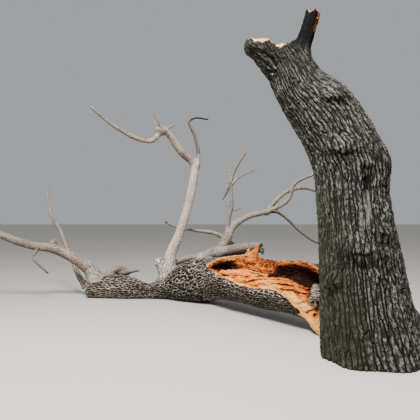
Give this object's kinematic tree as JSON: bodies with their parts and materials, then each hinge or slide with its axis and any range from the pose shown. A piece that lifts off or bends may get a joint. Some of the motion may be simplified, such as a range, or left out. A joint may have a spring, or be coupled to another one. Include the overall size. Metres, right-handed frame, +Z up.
{
  "type": "dead tree",
  "caption": "Dead twin-stemmed tree: a leaning broken-topped standing trunk with its sister stem snapped at the foot and lying behind it, torn hollow wood and bare boughs.",
  "frame": {"origin": "middle of the flat cut under the standing trunk, at ground level", "axes": "+Z up, +X to the right of the picture, +Y away from its camera, towards the fallen stem"},
  "size_m": [7.1423, 6.0127, 3.9931],
  "materials": {
    "trunk_bark": "rough",
    "fallen_bark": "rough",
    "bough_bark": "rough",
    "broken_wood": "rough",
    "twig_bark": "rough"
  },
  "bodies": {
    "root": {"standing_trunk": "trunk_bark", "standing_left_stub": "trunk_bark", "standing_top_stub": "trunk_bark", "split_stump": "broken_wood", "hinge_strip": "broken_wood", "fallen_butt": "broken_wood", "fallen_trunk": "fallen_bark", "arm_hub": "bough_bark", "upright_bough": "bough_bark", "left_arm": "bough_bark", "left_arm_end": "bough_bark", "right_arm": "twig_bark", "left_bough": "bough_bark", "hanging_twig": "twig_bark", "rear_left_limb": "bough_bark", "hooked_bough": "fallen_bark", "hooked_twig": "twig_bark", "saddle_log": "fallen_bark", "arc_bough": "bough_bark", "low_limb": "bough_bark", "arc_upper": "bough_bark", "arc_lower": "bough_bark", "droop_branch": "twig_bark", "thin_upright": "bough_bark", "thin_fork_right": "twig_bark", "thin_fork_left": "twig_bark", "torn_wedge": "twig_bark", "cross_limb": "bough_bark"}
  },
  "joints": []
}
